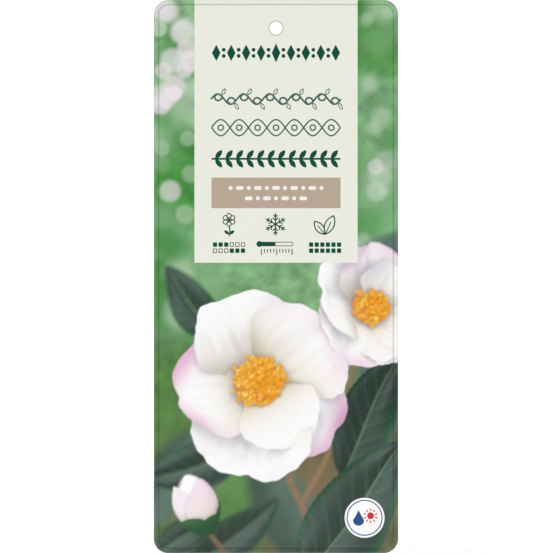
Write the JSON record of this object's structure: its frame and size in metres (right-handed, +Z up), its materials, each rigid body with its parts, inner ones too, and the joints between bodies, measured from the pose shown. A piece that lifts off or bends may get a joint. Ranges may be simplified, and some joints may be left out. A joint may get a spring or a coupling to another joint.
{
  "type": "plant hang label",
  "caption": "Tall laminated plastic hang label with rounded corners, a punched hole, a pale text panel and a printed picture of white garden blooms.",
  "frame": {"origin": "centre of the punched hole, at the middle of the label's thickness", "axes": "+X across the label to the right as its front is read, +Y out of its back, +Z up as it hangs"},
  "size_m": [0.094, 0.0006, 0.213],
  "materials": {
    "core": "matte",
    "back_film": "satin",
    "picture": "gloss",
    "panel": "gloss",
    "band": "gloss"
  },
  "bodies": {
    "root": {"hang_strip": "core", "core_sheet": "core", "back_film": "back_film", "picture_face": "picture", "panel_face": "panel", "band_face": "band"}
  },
  "joints": []
}
